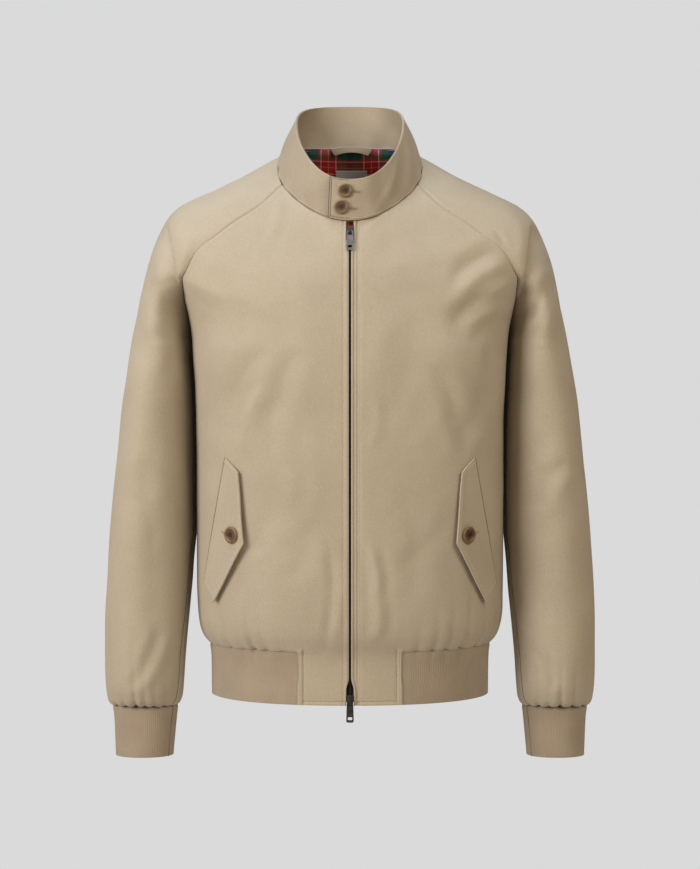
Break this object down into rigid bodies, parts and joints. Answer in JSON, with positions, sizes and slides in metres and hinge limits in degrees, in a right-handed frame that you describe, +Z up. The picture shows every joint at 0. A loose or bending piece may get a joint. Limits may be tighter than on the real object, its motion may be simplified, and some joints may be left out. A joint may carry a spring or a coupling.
{
  "type": "harrington jacket",
  "caption": "Short zipped jacket in its hollow worn shape: raglan sleeves, buttoned stand collar, slanted flap pockets, ribbed cuffs and waistband.",
  "frame": {"origin": "middle of the neck's base, level with the wearer's shoulder line", "axes": "+Z up, the jacket's front faces -Y, so the wearer's left is +X"},
  "size_m": [0.5954, 0.2785, 0.7993],
  "materials": {
    "cloth": "densely woven cotton and polyester poplin, stone khaki, nearly matt",
    "rib": "doubled rib knit in the cloth's colour, matt",
    "lining": "woven cotton lining in a plain red tartan",
    "label": "woven satin label, bare, pale grey",
    "tape": "woven zip tape with moulded dark brown teeth",
    "metal": "die-cast zinc, aged nickel, softly polished",
    "horn": "turned and polished imitation horn, mottled brown"
  },
  "bodies": {
    "garment": {"front_left": "cloth", "front_right": "cloth", "back": "cloth", "sleeve_left": "cloth", "sleeve_right": "cloth", "cuff_left": "rib", "cuff_right": "rib", "waistband": "rib", "collar": "cloth", "collar_button_top": "horn", "collar_button_bottom": "horn", "flap_left": "cloth", "flap_right": "cloth", "pocket_button_left": "horn", "pocket_button_right": "horn", "zip_tape_left": "tape", "zip_tape_right": "tape", "zip_chain": "tape", "slider_top": "metal", "slider_bottom": "metal", "back_lining": "lining", "label": "label", "hanger_loop": "cloth"},
    "top_pull": {"pull_tab_top": "metal"},
    "bottom_pull": {"pull_tab_bottom": "metal"}
  },
  "joints": [
    {"name": "top_pull_swing", "type": "hinge", "parent": "garment", "child": "top_pull", "pos_m": [0, -0.11291, -0.09084], "axis": [-1, 0, 0], "range_deg": [0, 120]},
    {"name": "bottom_pull_swing", "type": "hinge", "parent": "garment", "child": "bottom_pull", "pos_m": [0, -0.12201, -0.64007], "axis": [-1, 0, 0], "range_deg": [0, 150]}
  ]
}
